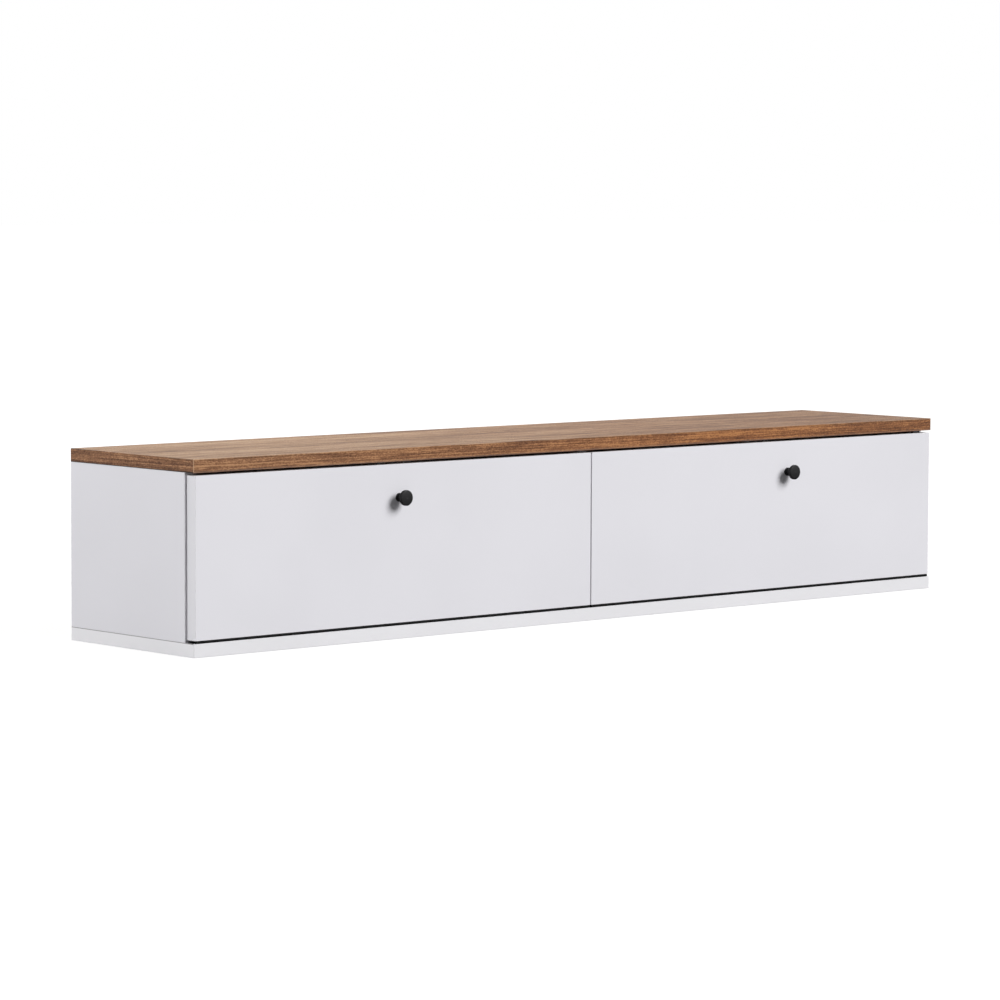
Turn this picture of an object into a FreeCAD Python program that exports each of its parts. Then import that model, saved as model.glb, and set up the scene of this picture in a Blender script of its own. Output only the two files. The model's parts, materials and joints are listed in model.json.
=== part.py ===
import FreeCAD, Part
import math
import os

# Low bench for a television, standing on its flat base panel, with two drop-down flaps.
# X runs along the bench, +Y points to the rear, +Z up, millimetres.
# The origin is the centre of the base panel's underside.

# Carcass
bench_length = 1400.0
bench_depth = 270.0
board = 18.0
inner_height = 222.0
band = 1.0
band_rounding = 0.4
seam_chamfer = 0.5
edge_tolerance = 0.01
cut_overrun = 2.0

# Back panels, held in grooves
back_thickness = 3.0
back_inset = 10.0
groove_depth = 6.0
groove_side_play = 0.1
groove_end_play = 0.5
cable_hole_radius = 30.0
cable_hole_above_base = 55.0

# Rear rail with the holes for wall screws
rail_height = 60.0
rail_play = 0.2
wall_hole_radius = 3.0
wall_hole_spacing = 400.0

# Flaps
flap_end_inset = 2.8
flap_middle_gap = 2.0
flap_top_gap = 3.6
flap_bottom_gap = 3.8
flap_back_gap = 0.9

# Continuous hinge in the gap below each flap
hinge_end_inset = 1.0
hinge_knuckles = 17
knuckle_radius = 1.6
knuckle_gap = 0.4
hinge_pin_radius = 0.8
hinge_pin_play = 0.06
hinge_pin_behind_front = 1.4
leaf_thickness = 0.9
leaf_width = 16.0
leaf_clearance = 0.3
hinge_screw_shares = (0.04, 0.22, 0.41, 0.59, 0.78, 0.96)

# Countersunk screw used for hinges, stays, catches and strike plates
screw_shank_radius = 1.25
screw_head_radius = 2.4
screw_head_height = 1.15
screw_length = 12.0
screw_tip_length = 2.5
screw_play = 0.05
recess_width = 0.6
recess_length = 2.8
recess_depth = 0.6

# Cam fittings and dowels that join the boards
bolt_thread_radius = 2.5
bolt_thread_length = 10.0
bolt_body_radius = 3.4
bolt_neck_radius = 2.0
bolt_neck_length = 6.0
bolt_head_radius = 3.1
bolt_head_length = 4.0
bolt_bore_radius = 4.0
cam_radius = 7.5
cam_height = 12.3
cam_setback = 24.0
cam_bore_play = 0.1
cam_bore_extra = 0.5
cam_slot_width = 1.4
cam_slot_length = 9.0
cam_slot_depth = 2.0
cover_radius = 9.0
cover_thickness = 1.0
dowel_radius = 4.0
dowel_half_length = 15.0
dowel_chamfer = 1.0
dowel_play = 0.05
dowel_end_play = 0.5
fitting_from_front = 40.0
fitting_from_rear = 50.0
dowel_from_cam = 32.0
rail_cam_share = 0.72
rail_dowel_share = 0.28

# Knobs
knob_head_radius = 10.7
knob_projection = 17.5
knob_head_thickness = 5.2
knob_rim_rounding = 1.6
knob_face_rise = 0.5
knob_foot_radius = 6.0
knob_foot_thickness = 3.0
knob_neck_radius = 4.9
knob_under_rounding = 2.2
knob_below_ceiling = 48.5
left_knob_from_middle = 353.0
right_knob_from_middle = 391.5
knob_screw_radius = 2.0
knob_screw_play = 0.1
knob_screw_reach = 9.0
knob_screw_head_radius = 4.0
knob_screw_head_height = 2.4
knob_slot_width = 1.0
knob_slot_depth = 1.0

# Magnetic catches under the top panel and strike plates on the flaps
catch_length = 40.0
catch_depth = 14.0
catch_height = 11.0
catch_ear_length = 9.0
catch_ear_thickness = 3.0
catch_gap = 0.4
magnet_length = 30.0
magnet_height = 6.0
magnet_depth = 10.0
magnet_play = 0.1
strike_length = 40.0
strike_height = 12.0
strike_thickness = 1.0
strike_below_flap_top = 1.0
strike_screw_share = 0.34

# Rubber buffers between flaps and uprights
buffer_radius = 3.0
buffer_play = 0.2
buffer_below_top = 14.0
buffer_from_middle = 5.0

# Sliding stay at the outer end of each flap
stay_radius = 125.0
stay_fixed_angle = 48.0
stay_pin_behind_flap = 11.0
stay_rod_from_side = 15.0
stay_rod_radius = 2.5
stay_rod_play = 0.3
stay_eye_radius = 5.0
stay_eye_thickness = 6.0
stay_pin_radius = 2.0
stay_pin_play = 0.1
stay_pin_head_radius = 3.5
stay_pin_head_thickness = 1.5
stay_side_gap = 1.0
lug_thickness = 2.0
lug_radius = 6.0
bracket_thickness = 2.0
bracket_half_height = 16.0
bracket_reach = 9.0
bracket_screw_rise = 11.0
housing_half_length = 12.0
housing_half_width = 8.0
housing_rounding = 2.0
housing_wall = 3.0
housing_gap = 0.4
axle_radius = 4.0
axle_play = 0.1
axle_end_gap = 0.5
plate_thickness = 2.5
plate_half_width = 9.0
plate_half_height = 28.0
plate_screw_rise = 20.0
brake_screw_radius = 2.0
brake_screw_play = 0.05
brake_screw_gap = 0.3
brake_slot_width = 0.8
brake_slot_depth = 0.8
stop_radius = 4.5
stop_length = 6.0
stop_gap = 0.5

# Planes and lines that the sizes above give
half_length = bench_length / 2
front_y = -bench_depth / 2
rear_y = bench_depth / 2
base_top = board
ceiling = base_top + inner_height
side_inner = half_length - board
divider_face = board / 2
flap_back_y = front_y + board
upright_front_y = flap_back_y + flap_back_gap
back_front_y = rear_y - back_inset - back_thickness
rail_rear_y = back_front_y - rail_play
rail_front_y = rail_rear_y - board
rail_bottom = ceiling - rail_height
wall_hole_z = rail_bottom + rail_height / 2
flap_outer = half_length - flap_end_inset
flap_inner = flap_middle_gap / 2
flap_bottom = base_top + flap_bottom_gap
flap_top = ceiling - flap_top_gap
pivot_y = front_y + hinge_pin_behind_front
pivot_z = base_top + flap_bottom_gap / 2
compartment_middle = (side_inner + divider_face) / 2
knob_z = ceiling - knob_below_ceiling
full_turn_angle = 360.0

X_AXIS = FreeCAD.Vector(1, 0, 0)
Y_AXIS = FreeCAD.Vector(0, 1, 0)
Z_AXIS = FreeCAD.Vector(0, 0, 1)
ORIGIN = FreeCAD.Vector(0, 0, 0)


def point(x, y, z):
    return FreeCAD.Vector(x, y, z)


def block(x_range, y_range, z_range):
    low = point(min(x_range), min(y_range), min(z_range))
    high = point(max(x_range), max(y_range), max(z_range))
    size = high - low
    return Part.makeBox(size.x, size.y, size.z, low)


def cylinder(radius, start, end):
    run = end - start
    return Part.makeCylinder(radius, run.Length, start, run)


def cone(first_radius, last_radius, start, end):
    run = end - start
    return Part.makeCone(first_radius, last_radius, run.Length, start, run)


def near(value, target):
    return abs(value - target) < edge_tolerance


def edges_where(shape, wanted):
    return [edge for edge in shape.Edges if wanted(edge.CenterOfMass)]


def rounded(shape, radius, wanted):
    return shape.makeFillet(radius, edges_where(shape, wanted))


def chamfered(shape, size, wanted):
    return shape.makeChamfer(size, edges_where(shape, wanted))


def cut(shape, tools):
    return shape.cut(tools) if tools else shape


def joined(shapes):
    return shapes[0].fuse(shapes[1:]).removeSplitter()


def group(shapes):
    return Part.makeCompound(shapes)


def mirrored(shape):
    return shape.mirror(ORIGIN, X_AXIS)


def mirrored_places(places):
    return [
        (point(-origin.x, origin.y, origin.z), point(-direction.x, direction.y, direction.z))
        for origin, direction in places
    ]


def placed(shape, origin, z_direction, x_direction):
    """Moves a shape from its own axes to an origin with the given Z and X directions."""
    y_direction = z_direction.cross(x_direction)
    turn = FreeCAD.Rotation(x_direction, y_direction, z_direction, "ZXY")
    moved = shape.copy()
    moved.Placement = FreeCAD.Placement(origin, turn)
    return moved


# Countersunk screw along +Z, with the flat of its head on the plane z = 0

def screw_at_origin():
    head_end = point(0, 0, screw_head_height)
    tip_start = point(0, 0, screw_length - screw_tip_length)
    head = cone(screw_head_radius, screw_shank_radius, ORIGIN, head_end)
    shank = cylinder(screw_shank_radius, head_end, tip_start)
    tip = cone(screw_shank_radius, 0, tip_start, point(0, 0, screw_length))
    half_bar = recess_length / 2
    half_width = recess_width / 2
    first = block((-half_bar, half_bar), (-half_width, half_width), (-cut_overrun, recess_depth))
    second = block((-half_width, half_width), (-half_bar, half_bar), (-cut_overrun, recess_depth))
    return cut(joined([head, shank, tip]), [first, second])


def screw_hole_at_origin():
    head_end = point(0, 0, screw_head_height)
    head = cone(screw_head_radius + screw_play, screw_shank_radius + screw_play, ORIGIN, head_end)
    shank = cylinder(screw_shank_radius + screw_play, head_end, point(0, 0, screw_length + screw_play))
    return joined([head, shank])


SCREW = screw_at_origin()
SCREW_HOLE = screw_hole_at_origin()


def across(direction):
    return Y_AXIS if abs(direction.x) > abs(direction.y) + abs(direction.z) else X_AXIS


def screws(places):
    return [placed(SCREW, origin, direction, across(direction)) for origin, direction in places]


def screw_holes(places):
    return [placed(SCREW_HOLE, origin, direction, across(direction)) for origin, direction in places]


# Cam fitting: the bolt runs along +Z from the joint into the board that holds the cam,
# and the cam opens on the face at x = half the board

def cam_bolt_at_origin():
    neck_start = cam_setback - bolt_head_length / 2 - bolt_neck_length
    head_start = neck_start + bolt_neck_length
    thread = cylinder(bolt_thread_radius, point(0, 0, -bolt_thread_length), ORIGIN)
    body = cylinder(bolt_body_radius, ORIGIN, point(0, 0, neck_start))
    neck = cylinder(bolt_neck_radius, point(0, 0, neck_start), point(0, 0, head_start))
    head = cylinder(bolt_head_radius, point(0, 0, head_start), point(0, 0, head_start + bolt_head_length))
    return joined([thread, body, neck, head])


def cam_lock_at_origin():
    face = board / 2
    drum = cylinder(cam_radius, point(face - cam_height, 0, cam_setback), point(face, 0, cam_setback))
    way_in_start = point(0, 0, cam_setback - cam_radius - cut_overrun)
    way_in = cylinder(bolt_bore_radius, way_in_start, point(0, 0, cam_setback + bolt_head_length / 2))
    half_bar = cam_slot_length / 2
    half_width = cam_slot_width / 2
    slot_x = (face - cam_slot_depth, face + cut_overrun)
    upright_slot = block(slot_x, (-half_width, half_width), (cam_setback - half_bar, cam_setback + half_bar))
    level_slot = block(slot_x, (-half_bar, half_bar), (cam_setback - half_width, cam_setback + half_width))
    return cut(drum, [way_in, upright_slot, level_slot])


def cam_cover_at_origin():
    face = board / 2
    disc = cylinder(cover_radius, point(face, 0, cam_setback), point(face + cover_thickness, 0, cam_setback))
    return rounded(disc, cover_thickness / 2, lambda p: near(p.x, face + cover_thickness))


def cam_bores_at_origin():
    face = board / 2
    floor = face - cam_height - cam_bore_extra
    cam_bore = cylinder(
        cam_radius + cam_bore_play, point(floor, 0, cam_setback), point(face + cut_overrun, 0, cam_setback)
    )
    bolt_bore = cylinder(bolt_bore_radius, point(0, 0, -cut_overrun), point(0, 0, cam_setback))
    return joined([cam_bore, bolt_bore])


def thread_bore_at_origin():
    end = point(0, 0, -bolt_thread_length - cam_bore_extra)
    return cylinder(bolt_thread_radius + screw_play, end, point(0, 0, cut_overrun))


def dowel_at_origin():
    peg = cylinder(dowel_radius, point(0, 0, -dowel_half_length), point(0, 0, dowel_half_length))
    return chamfered(peg, dowel_chamfer, lambda p: near(abs(p.z), dowel_half_length))


def dowel_bore_at_origin():
    reach = dowel_half_length + dowel_end_play
    return cylinder(dowel_radius + dowel_play, point(0, 0, -reach), point(0, 0, reach))


def upright_joints(x_middle, cam_face):
    """Frames of the fittings of one upright: origin in the joint, bolt direction, cam direction."""
    cams = []
    dowels = []
    for joint_z, inward in ((base_top, Z_AXIS), (ceiling, Z_AXIS.negative())):
        front_cam = upright_front_y + fitting_from_front
        rear_cam = rear_y - fitting_from_rear
        cams.append((point(x_middle, front_cam, joint_z), inward, cam_face))
        cams.append((point(x_middle, rear_cam, joint_z), inward, cam_face))
        dowels.append((point(x_middle, front_cam + dowel_from_cam, joint_z), inward, cam_face))
        dowels.append((point(x_middle, rear_cam - dowel_from_cam, joint_z), inward, cam_face))
    return cams, dowels


def rail_joint():
    """Frames of the fittings at the left end of the rear rail."""
    middle_y = (rail_front_y + rail_rear_y) / 2
    cam = (point(-side_inner, middle_y, rail_bottom + rail_height * rail_cam_share), X_AXIS, Y_AXIS.negative())
    dowel = (point(-side_inner, middle_y, rail_bottom + rail_height * rail_dowel_share), X_AXIS, Z_AXIS)
    return cam, dowel


side_cams, side_dowels = upright_joints(-half_length + board / 2, X_AXIS)
divider_cams, divider_dowels = upright_joints(0, X_AXIS)
rail_cam, rail_dowel = rail_joint()


def in_frames(shape, frames):
    return [placed(shape, *frame) for frame in frames]


def both_sides(shapes):
    return shapes + [mirrored(shape) for shape in shapes]


def joint_solids(side_shape, divider_shape, rail_shape):
    return both_sides(side_shape + rail_shape) + divider_shape


def all_cam_solids(shape):
    return joint_solids(in_frames(shape, side_cams), in_frames(shape, divider_cams), in_frames(shape, [rail_cam]))


def all_dowels():
    peg = dowel_at_origin()
    return joint_solids(in_frames(peg, side_dowels), in_frames(peg, divider_dowels), in_frames(peg, [rail_dowel]))


def joint_bores():
    """Bores for cams, bolts and dowels, as cut in the boards that hold the cams and in their partners."""
    cam_bores = cam_bores_at_origin()
    thread_bore = thread_bore_at_origin()
    dowel_bore = dowel_bore_at_origin()
    side_pegs = in_frames(dowel_bore, side_dowels)
    divider_pegs = in_frames(dowel_bore, divider_dowels)
    rail_peg = in_frames(dowel_bore, [rail_dowel])
    return {
        "side": in_frames(cam_bores, side_cams) + side_pegs + in_frames(thread_bore, [rail_cam]) + rail_peg,
        "divider": in_frames(cam_bores, divider_cams) + divider_pegs,
        "rail": both_sides(in_frames(cam_bores, [rail_cam]) + rail_peg),
        "top_and_base": both_sides(in_frames(thread_bore, side_cams) + side_pegs)
        + in_frames(thread_bore, divider_cams) + divider_pegs,
    }


BORES = joint_bores()


# Places of the screws in the left half, as head centre and direction

def hinge_span():
    return -flap_outer + hinge_end_inset, -flap_inner - hinge_end_inset


def hinge_screw_places(head_z, direction):
    start, end = hinge_span()
    row_y = (pivot_y + knuckle_radius + leaf_clearance + pivot_y + leaf_width) / 2
    return [(point(start + (end - start) * share, row_y, head_z), direction) for share in hinge_screw_shares]


def fixed_leaf_screws():
    return hinge_screw_places(base_top + leaf_thickness, Z_AXIS.negative())


def moving_leaf_screws():
    return hinge_screw_places(flap_bottom - leaf_thickness, Z_AXIS)


def catch_screw_places():
    row_y = catch_front() + catch_depth / 2
    reach = (catch_length + catch_ear_length) / 2
    head_z = ceiling - catch_ear_thickness
    return [(point(-compartment_middle + side * reach, row_y, head_z), Z_AXIS) for side in (-1, 1)]


def strike_screw_places():
    head_y = flap_back_y + strike_thickness
    middle_z = flap_top - strike_below_flap_top - strike_height / 2
    reach = strike_length * strike_screw_share
    return [(point(-compartment_middle + side * reach, head_y, middle_z), Y_AXIS.negative()) for side in (-1, 1)]


# Stay geometry: both of its pivots lie at the same distance from the hinge axis,
# so the rod turns by half the flap's angle

stay_rod_x = -side_inner + stay_rod_from_side
moving_pin_y = flap_back_y + stay_pin_behind_flap
moving_pin_z = pivot_z + math.sqrt(stay_radius ** 2 - (moving_pin_y - pivot_y) ** 2)
fixed_pin_y = pivot_y + stay_radius * math.cos(math.radians(stay_fixed_angle))
fixed_pin_z = pivot_z + stay_radius * math.sin(math.radians(stay_fixed_angle))
moving_pin_angle = math.atan2(moving_pin_z - pivot_z, moving_pin_y - pivot_y)
open_half_angle = (moving_pin_angle + math.pi / 2 - math.radians(stay_fixed_angle)) / 2
stay_open_reach = 2 * stay_radius * math.sin(open_half_angle)
stay_rod_length = stay_open_reach + housing_half_length + stop_gap + stop_length
ROD_DIRECTION = point(0, fixed_pin_y - moving_pin_y, fixed_pin_z - moving_pin_z).normalize()
ROD_NORMAL = X_AXIS.cross(ROD_DIRECTION)
MOVING_PIN = point(stay_rod_x, moving_pin_y, moving_pin_z)
FIXED_PIN = point(stay_rod_x, fixed_pin_y, fixed_pin_z)
lug_inner_x = stay_rod_x + stay_eye_thickness / 2 + stay_side_gap
bracket_screw_x = stay_rod_x


def bracket_screw_places():
    head_y = flap_back_y + bracket_thickness
    return [
        (point(bracket_screw_x, head_y, moving_pin_z + side * bracket_screw_rise), Y_AXIS.negative())
        for side in (-1, 1)
    ]


def plate_screw_places():
    head_x = -side_inner + plate_thickness
    return [
        (point(head_x, fixed_pin_y, fixed_pin_z + side * plate_screw_rise), X_AXIS.negative())
        for side in (-1, 1)
    ]


# Boards of the carcass

def back_groove(x_range, z_range):
    y_range = (back_front_y - groove_side_play, back_front_y + back_thickness + groove_side_play)
    return block(x_range, y_range, z_range)


def level_board(z_low):
    """Top or base panel without its edge bands."""
    z_range = (z_low, z_low + board)
    core = block((-half_length + band, half_length - band), (front_y + band, rear_y), z_range)
    inner_face = ceiling if near(z_low, ceiling) else base_top
    groove_z = (inner_face - groove_depth, inner_face + groove_depth)
    groove = back_groove((-side_inner - groove_depth, side_inner + groove_depth), groove_z)
    return cut(core, [groove] + BORES["top_and_base"])


def top_panel():
    return cut(level_board(ceiling), screw_holes(catch_screw_places() + mirrored_places(catch_screw_places())))


def base_panel():
    return cut(level_board(0), screw_holes(fixed_leaf_screws() + mirrored_places(fixed_leaf_screws())))


def front_band(z_low):
    strip = block((-half_length, half_length), (front_y, front_y + band), (z_low, z_low + board))
    return rounded(strip, band_rounding, lambda p: p.y < front_y + band - edge_tolerance)


def left_end_band(z_low):
    strip = block((-half_length, -half_length + band), (front_y + band, rear_y), (z_low, z_low + board))
    return rounded(
        strip, band_rounding, lambda p: near(p.x, -half_length) and p.y > front_y + band + edge_tolerance
    )


def left_side_panel():
    y_range = (upright_front_y + band, rear_y)
    core = block((-half_length, -side_inner), y_range, (base_top, ceiling))
    core = chamfered(core, seam_chamfer, lambda p: near(p.x, -half_length) and p.y > upright_front_y + band)
    groove = back_groove(
        (-side_inner - groove_depth, -side_inner + cut_overrun), (base_top - cut_overrun, ceiling + cut_overrun)
    )
    return cut(core, [groove] + BORES["side"] + screw_holes(plate_screw_places()))


def upright_band(x_range):
    y_range = (upright_front_y, upright_front_y + band)
    strip = block(x_range, y_range, (base_top, ceiling))
    return rounded(strip, band_rounding, lambda p: near(p.y, upright_front_y))


def centre_divider():
    y_range = (upright_front_y + band, back_front_y + back_thickness)
    core = block((-divider_face, divider_face), y_range, (base_top, ceiling))
    notch = block(
        (-divider_face - cut_overrun, divider_face + cut_overrun),
        (rail_front_y - rail_play, rear_y),
        (rail_bottom - rail_play, ceiling + cut_overrun),
    )
    z_range = (base_top - cut_overrun, ceiling + cut_overrun)
    left_groove = back_groove((-divider_face - cut_overrun, -divider_face + groove_depth), z_range)
    return cut(core, [notch, left_groove, mirrored(left_groove)] + BORES["divider"])


def wall_holes():
    return [
        cylinder(
            wall_hole_radius,
            point(-compartment_middle + side * wall_hole_spacing / 2, rail_front_y - cut_overrun, wall_hole_z),
            point(-compartment_middle + side * wall_hole_spacing / 2, rear_y, wall_hole_z),
        )
        for side in (-1, 1)
    ]


def rear_rail():
    core = block((-side_inner, side_inner), (rail_front_y, rail_rear_y), (rail_bottom, ceiling))
    return cut(core, BORES["rail"] + both_sides(wall_holes()))


def left_back_panel():
    tongue = groove_depth - groove_end_play
    sheet = block(
        (-side_inner - tongue, -divider_face + tongue),
        (back_front_y, back_front_y + back_thickness),
        (base_top - tongue, ceiling + tongue),
    )
    hole_z = base_top + cable_hole_above_base
    cable_hole = cylinder(
        cable_hole_radius,
        point(-compartment_middle, back_front_y - cut_overrun, hole_z),
        point(-compartment_middle, rear_y, hole_z),
    )
    return cut(sheet, [cable_hole] + wall_holes())


# Left flap with its fittings

def knob_screw_hole(x_middle):
    return cylinder(
        knob_screw_radius + knob_screw_play,
        point(x_middle, front_y - cut_overrun, knob_z),
        point(x_middle, flap_back_y + cut_overrun, knob_z),
    )


def flap_cutters(knob_x):
    screw_places = moving_leaf_screws() + strike_screw_places() + bracket_screw_places()
    return [knob_screw_hole(knob_x)] + screw_holes(screw_places)


def left_flap_panel(knob_x):
    core = block(
        (-flap_outer + band, -flap_inner - band), (front_y, flap_back_y), (flap_bottom + band, flap_top - band)
    )
    return cut(core, flap_cutters(knob_x))


def left_flap_bands(knob_x):
    """Edge bands: two over the whole width, two between them."""
    y_range = (front_y, flap_back_y)
    x_range = (-flap_outer, -flap_inner)
    side_z = (flap_bottom + band, flap_top - band)
    middle_z = (flap_bottom + flap_top) / 2
    lower = block(x_range, y_range, (flap_bottom, flap_bottom + band))
    upper = block(x_range, y_range, (flap_top - band, flap_top))
    outer = block((-flap_outer, -flap_outer + band), y_range, side_z)
    inner = block((-flap_inner - band, -flap_inner), y_range, side_z)
    lower = rounded(lower, band_rounding, lambda p: p.z < flap_bottom + band - edge_tolerance)
    upper = rounded(upper, band_rounding, lambda p: p.z > flap_top - band + edge_tolerance)
    outer = rounded(outer, band_rounding, lambda p: near(p.x, -flap_outer) and near(p.z, middle_z))
    inner = rounded(inner, band_rounding, lambda p: near(p.x, -flap_inner) and near(p.z, middle_z))
    return group([cut(lower, flap_cutters(knob_x)), upper, outer, inner])


def hinge_leaf(moving):
    """One leaf of the continuous hinge: a strip, and every second knuckle with its tongue."""
    start, end = hinge_span()
    pitch = (end - start) / hinge_knuckles
    z_range = (flap_bottom - leaf_thickness, flap_bottom) if moving else (base_top, base_top + leaf_thickness)
    strip_start = pivot_y + knuckle_radius + leaf_clearance
    pieces = [block((start, end), (strip_start, pivot_y + leaf_width), z_range)]
    for index in range(hinge_knuckles):
        if (index % 2 == 1) == moving:
            x_start = start + index * pitch + knuckle_gap / 2
            x_end = start + (index + 1) * pitch - knuckle_gap / 2
            pieces.append(block((x_start, x_end), (pivot_y, strip_start + leaf_clearance), z_range))
            pieces.append(cylinder(knuckle_radius, point(x_start, pivot_y, pivot_z), point(x_end, pivot_y, pivot_z)))
    bore = cylinder(
        hinge_pin_radius + hinge_pin_play,
        point(start - cut_overrun, pivot_y, pivot_z),
        point(end + cut_overrun, pivot_y, pivot_z),
    )
    screw_places = moving_leaf_screws() if moving else fixed_leaf_screws()
    return cut(joined(pieces), [bore] + screw_holes(screw_places))


def hinge_pin():
    start, end = hinge_span()
    return cylinder(hinge_pin_radius, point(start, pivot_y, pivot_z), point(end, pivot_y, pivot_z))


def knob(x_middle):
    """Turned mushroom knob: foot, waisted neck, round head with a soft rim and a slightly raised face."""
    rim_out = knob_projection - knob_face_rise
    head_under = rim_out - knob_head_thickness
    rim = knob_rim_rounding

    def at(radius, out):
        return point(x_middle + radius, front_y - out, knob_z)

    corner = rim * (1 - math.sqrt(0.5))
    face_radius = knob_head_radius - rim
    dome_radius = (face_radius ** 2 + knob_face_rise ** 2) / (2 * knob_face_rise)
    half_angle = math.asin(face_radius / dome_radius) / 2
    dome_middle_out = knob_projection - dome_radius * (1 - math.cos(half_angle))
    dome = Part.Arc(
        at(face_radius, rim_out), at(dome_radius * math.sin(half_angle), dome_middle_out), at(0, knob_projection)
    )
    front_rim = Part.Arc(
        at(knob_head_radius, rim_out - rim), at(knob_head_radius - corner, rim_out - corner),
        at(knob_head_radius - rim, rim_out)
    )
    back_rim = Part.Arc(
        at(knob_head_radius - rim, head_under), at(knob_head_radius - corner, head_under + corner),
        at(knob_head_radius, head_under + rim)
    )
    flare = knob_under_rounding
    flare_corner = flare * (1 - math.sqrt(0.5))
    waist = Part.Arc(
        at(knob_neck_radius, head_under - flare),
        at(knob_neck_radius + flare_corner, head_under - flare_corner),
        at(knob_neck_radius + flare, head_under),
    )
    outline = [
        Part.LineSegment(at(0, 0), at(knob_foot_radius, 0)),
        Part.LineSegment(at(knob_foot_radius, 0), at(knob_foot_radius, knob_foot_thickness)),
        Part.LineSegment(at(knob_foot_radius, knob_foot_thickness), at(knob_neck_radius, knob_foot_thickness)),
        Part.LineSegment(at(knob_neck_radius, knob_foot_thickness), at(knob_neck_radius, head_under - flare)),
        waist,
        Part.LineSegment(at(knob_neck_radius + flare, head_under), at(knob_head_radius - rim, head_under)),
        back_rim,
        Part.LineSegment(at(knob_head_radius, head_under + rim), at(knob_head_radius, rim_out - rim)),
        front_rim,
        dome,
        Part.LineSegment(at(0, knob_projection), at(0, 0)),
    ]
    profile = Part.Face(Part.Wire([piece.toShape() for piece in outline]))
    turned = profile.revolve(at(0, 0), Y_AXIS, full_turn_angle)
    bore_end = knob_screw_reach + knob_screw_play
    bore = cylinder(knob_screw_radius + knob_screw_play, at(0, -cut_overrun), at(0, bore_end))
    return cut(turned, [bore])


def knob_screw(x_middle):
    head_start = point(x_middle, flap_back_y, knob_z)
    head_end = flap_back_y + knob_screw_head_height
    shank = cylinder(knob_screw_radius, point(x_middle, front_y - knob_screw_reach, knob_z), head_start)
    head = cylinder(knob_screw_head_radius, head_start, point(x_middle, head_end, knob_z))
    head = rounded(head, knob_screw_head_height / 2, lambda p: near(p.y, head_end))
    half_bar = knob_screw_head_radius + cut_overrun
    slot = block(
        (x_middle - half_bar, x_middle + half_bar),
        (head_end - knob_slot_depth, head_end + cut_overrun),
        (knob_z - knob_slot_width / 2, knob_z + knob_slot_width / 2),
    )
    return cut(joined([shank, head]), [slot])


def strike_plate():
    z_high = flap_top - strike_below_flap_top
    plate = block(
        (-compartment_middle - strike_length / 2, -compartment_middle + strike_length / 2),
        (flap_back_y, flap_back_y + strike_thickness),
        (z_high - strike_height, z_high),
    )
    return cut(plate, screw_holes(strike_screw_places()))


def catch_front():
    return flap_back_y + strike_thickness + catch_gap


def magnet_space(play):
    """Space of the magnet in its housing, open to the front."""
    middle_z = ceiling - catch_height / 2
    half = magnet_length / 2 + play
    rise = magnet_height / 2 + play
    return block(
        (-compartment_middle - half, -compartment_middle + half),
        (catch_front(), catch_front() + magnet_depth + play),
        (middle_z - rise, middle_z + rise),
    )


def catch_housing():
    front = catch_front()
    y_range = (front, front + catch_depth)
    half = catch_length / 2
    body = block(
        (-compartment_middle - half, -compartment_middle + half), y_range, (ceiling - catch_height, ceiling)
    )
    ear_reach = half + catch_ear_length
    ears = block(
        (-compartment_middle - ear_reach, -compartment_middle + ear_reach),
        y_range,
        (ceiling - catch_ear_thickness, ceiling),
    )
    return cut(joined([body, ears]), [magnet_space(magnet_play)] + screw_holes(catch_screw_places()))


def catch_magnet():
    return magnet_space(0)


def buffers():
    """Round buffers on the front edges of a side panel and of the divider."""
    thickness = flap_back_gap - buffer_play
    z_middle = ceiling - buffer_below_top
    dots = []
    for x_middle in (-half_length + board / 2, -buffer_from_middle):
        dot = cylinder(
            buffer_radius, point(x_middle, upright_front_y - thickness, z_middle),
            point(x_middle, upright_front_y, z_middle)
        )
        dots.append(rounded(dot, thickness / 2, lambda p: near(p.y, upright_front_y - thickness)))
    return both_sides(dots)


# Left stay

def stay_bracket():
    """Plate on the flap's back with a lug for the rod's pin."""
    z_range = (moving_pin_z - bracket_half_height, moving_pin_z + bracket_half_height)
    plate = block(
        (stay_rod_x - bracket_reach, lug_inner_x + lug_thickness),
        (flap_back_y, flap_back_y + bracket_thickness),
        z_range,
    )
    lug_x = (lug_inner_x, lug_inner_x + lug_thickness)
    arm = block(lug_x, (flap_back_y, moving_pin_y), (moving_pin_z - lug_radius, moving_pin_z + lug_radius))
    end = cylinder(
        lug_radius, point(lug_x[0], moving_pin_y, moving_pin_z), point(lug_x[1], moving_pin_y, moving_pin_z)
    )
    hole = cylinder(
        stay_pin_radius + screw_play,
        point(lug_x[0] - cut_overrun, moving_pin_y, moving_pin_z),
        point(lug_x[1] + cut_overrun, moving_pin_y, moving_pin_z),
    )
    return cut(joined([plate, arm, end]), [hole] + screw_holes(bracket_screw_places()))


def stay_pin():
    head_inner = stay_rod_x - stay_eye_thickness / 2 - stay_side_gap / 2
    lug_outer = lug_inner_x + lug_thickness

    def at(x):
        return point(x, moving_pin_y, moving_pin_z)

    shank = cylinder(stay_pin_radius, at(head_inner), at(lug_outer))
    head = cylinder(stay_pin_head_radius, at(head_inner - stay_pin_head_thickness), at(head_inner))
    rivet = cylinder(stay_pin_head_radius, at(lug_outer), at(lug_outer + stay_pin_head_thickness / 2))
    return joined([shank, head, rivet])


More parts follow.
